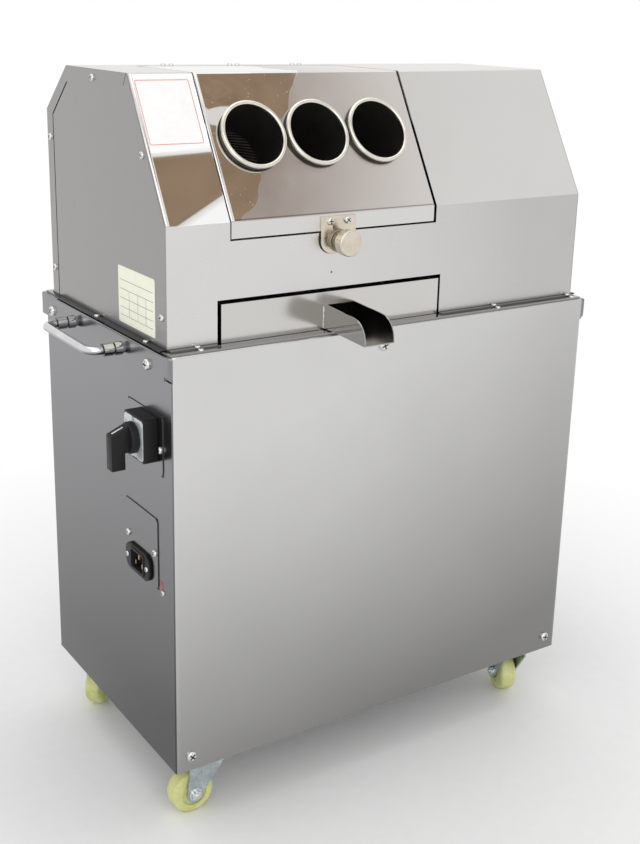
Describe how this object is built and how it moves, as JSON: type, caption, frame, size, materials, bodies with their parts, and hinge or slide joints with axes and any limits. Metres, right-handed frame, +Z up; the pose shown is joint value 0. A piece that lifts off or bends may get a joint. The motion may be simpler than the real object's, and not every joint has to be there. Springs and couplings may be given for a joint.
{
  "type": "electric sugarcane juicer",
  "caption": "Stainless sugarcane juicer on castors: cabinet with motor and reducer, hood with hinged feed lid, fluted roller mill, sliding juice tray and spout.",
  "frame": {"origin": "on the floor under the middle of the machine", "axes": "+Z up, front with the juice spout towards -Y, +X to the right seen from the front"},
  "size_m": [0.656, 0.452, 0.818],
  "materials": {
    "cabinet_steel": "satin stainless sheet",
    "hood_steel": "satin stainless sheet",
    "lid_steel": "polished stainless sheet",
    "tube_steel": "satin stainless tube",
    "handle_chrome": "polished chrome",
    "screw_steel": "bright zinc",
    "latch_nickel": "warm nickel",
    "black_plastic": "black moulded",
    "face_plate": "light grey plate",
    "brass": "plain brass",
    "hinge_steel": "plain steel",
    "roller_steel": "machined stainless",
    "machine_steel": "plain steel",
    "machine_paint": "blue machine paint",
    "pulley_iron": "turned iron",
    "belt_rubber": "black rubber",
    "wheel_plastic": "pale yellow nylon",
    "castor_zinc": "bright zinc plate"
  },
  "bodies": {
    "cabinet": {"cabinet_wrap": "cabinet_steel", "rear_panel": "cabinet_steel", "base_pan": "machine_steel", "frame_posts": "machine_steel", "cap_frame": "cabinet_steel", "deck_plate": "cabinet_steel", "cabinet_screws": "screw_steel", "hood_shell": "hood_steel", "hood_rear_cover": "hood_steel", "hood_end_left": "hood_steel", "hood_end_right": "hood_steel", "bagasse_chute": "hood_steel", "handle_left": "handle_chrome", "handle_right": "handle_chrome", "cover_plates": "hood_steel", "switch_body": "black_plastic", "switch_face": "face_plate", "power_inlet": "black_plastic", "inlet_blades": "brass", "hood_hinge_leaf": "hinge_steel", "hinge_pin": "hinge_steel", "latch_catch": "latch_nickel", "bearing_plate_left": "machine_steel", "bearing_plate_right": "machine_steel", "roller_bushes": "brass", "turner_plate": "machine_steel", "reducer_housing": "machine_paint", "drive_belt": "belt_rubber", "motor_housing": "machine_paint", "motor_rails": "machine_steel", "castor_plates": "castor_zinc"},
    "lid": {"feed_lid": "lid_steel", "feed_tube_left": "tube_steel", "feed_tube_middle": "tube_steel", "feed_tube_right": "tube_steel", "lid_hinge_leaf": "hinge_steel", "latch_bracket": "latch_nickel", "latch_collar": "latch_nickel", "latch_screws": "screw_steel"},
    "latch": {"latch_knob": "latch_nickel", "latch_pin": "latch_nickel"},
    "tray": {"juice_tray": "lid_steel", "juice_spout": "lid_steel"},
    "switch": {"switch_knob": "black_plastic"},
    "top_mill": {"top_roller": "roller_steel", "top_gear": "machine_steel"},
    "front_mill": {"front_roller": "roller_steel", "front_gear": "machine_steel"},
    "rear_mill": {"rear_roller": "roller_steel", "rear_gear": "machine_steel"},
    "reducer_drive": {"reducer_pulley": "pulley_iron"},
    "motor_drive": {"motor_pulley": "pulley_iron"},
    "castor_fl": {"castor_fork_fl": "castor_zinc"},
    "wheel_fl": {"castor_wheel_fl": "wheel_plastic"},
    "castor_fr": {"castor_fork_fr": "castor_zinc"},
    "wheel_fr": {"castor_wheel_fr": "wheel_plastic"},
    "castor_rl": {"castor_fork_rl": "castor_zinc"},
    "wheel_rl": {"castor_wheel_rl": "wheel_plastic"},
    "castor_rr": {"castor_fork_rr": "castor_zinc"},
    "wheel_rr": {"castor_wheel_rr": "wheel_plastic"}
  },
  "joints": [
    {"name": "lid_hinge", "type": "hinge", "parent": "cabinet", "child": "lid", "pos_m": [-0.0738, 0.06, 0.8128], "axis": [-1, 0, 0], "range_deg": [0, 95]},
    {"name": "latch_slide", "type": "slide", "parent": "lid", "child": "latch", "axis": [0, 1, 0], "range_m": [0, 0.004]},
    {"name": "tray_slide", "type": "slide", "parent": "cabinet", "child": "tray", "axis": [0, -1, 0], "range_m": [0, 0.22]},
    {"name": "switch_turn", "type": "hinge", "parent": "cabinet", "child": "switch", "pos_m": [-0.28, -0.112, 0.451], "axis": [-1, 0, 0], "range_deg": [-60, 60]},
    {"name": "motor_spin", "type": "hinge", "parent": "cabinet", "child": "motor_drive", "pos_m": [0.2, -0.032, 0.162], "axis": [1, 0, 0], "continuous": true},
    {"name": "reducer_spin", "type": "hinge", "parent": "cabinet", "child": "reducer_drive", "pos_m": [0.24, -0.032, 0.67897], "axis": [1, 0, 0], "continuous": true},
    {"name": "top_mill_spin", "type": "hinge", "parent": "cabinet", "child": "top_mill", "pos_m": [0, 0.052, 0.69897], "axis": [1, 0, 0], "continuous": true},
    {"name": "front_mill_spin", "type": "hinge", "parent": "cabinet", "child": "front_mill", "pos_m": [0, 0.008, 0.637], "axis": [1, 0, 0], "continuous": true},
    {"name": "rear_mill_spin", "type": "hinge", "parent": "cabinet", "child": "rear_mill", "pos_m": [0, 0.096, 0.637], "axis": [1, 0, 0], "continuous": true},
    {"name": "swivel_fl", "type": "hinge", "parent": "cabinet", "child": "castor_fl", "pos_m": [-0.231, -0.137, 0.036], "axis": [0, 0, 1], "continuous": true},
    {"name": "roll_fl", "type": "hinge", "parent": "castor_fl", "child": "wheel_fl", "pos_m": [-0.248, -0.137, 0.0255], "axis": [0, -1, 0], "continuous": true},
    {"name": "swivel_fr", "type": "hinge", "parent": "cabinet", "child": "castor_fr", "pos_m": [0.231, -0.137, 0.036], "axis": [0, 0, 1], "continuous": true},
    {"name": "roll_fr", "type": "hinge", "parent": "castor_fr", "child": "wheel_fr", "pos_m": [0.23597, -0.12074, 0.0255], "axis": [-0.9563, 0.2924, 0], "continuous": true},
    {"name": "swivel_rl", "type": "hinge", "parent": "cabinet", "child": "castor_rl", "pos_m": [-0.231, 0.137, 0.036], "axis": [0, 0, 1], "continuous": true},
    {"name": "roll_rl", "type": "hinge", "parent": "castor_rl", "child": "wheel_rl", "pos_m": [-0.24402, 0.12607, 0.0255], "axis": [0.6428, -0.766, 0], "continuous": true},
    {"name": "swivel_rr", "type": "hinge", "parent": "cabinet", "child": "castor_rr", "pos_m": [0.231, 0.137, 0.036], "axis": [0, 0, 1], "continuous": true},
    {"name": "roll_rr", "type": "hinge", "parent": "castor_rr", "child": "wheel_rr", "pos_m": [0.21628, 0.1455, 0.0255], "axis": [-0.5, -0.866, 0], "continuous": true}
  ],
  "couplings": [
    {"joint": "reducer_spin", "follows": "motor_spin", "ratio": 0.4},
    {"joint": "top_mill_spin", "follows": "motor_spin", "ratio": 0.025},
    {"joint": "front_mill_spin", "follows": "motor_spin", "ratio": -0.025},
    {"joint": "rear_mill_spin", "follows": "motor_spin", "ratio": -0.025}
  ]
}
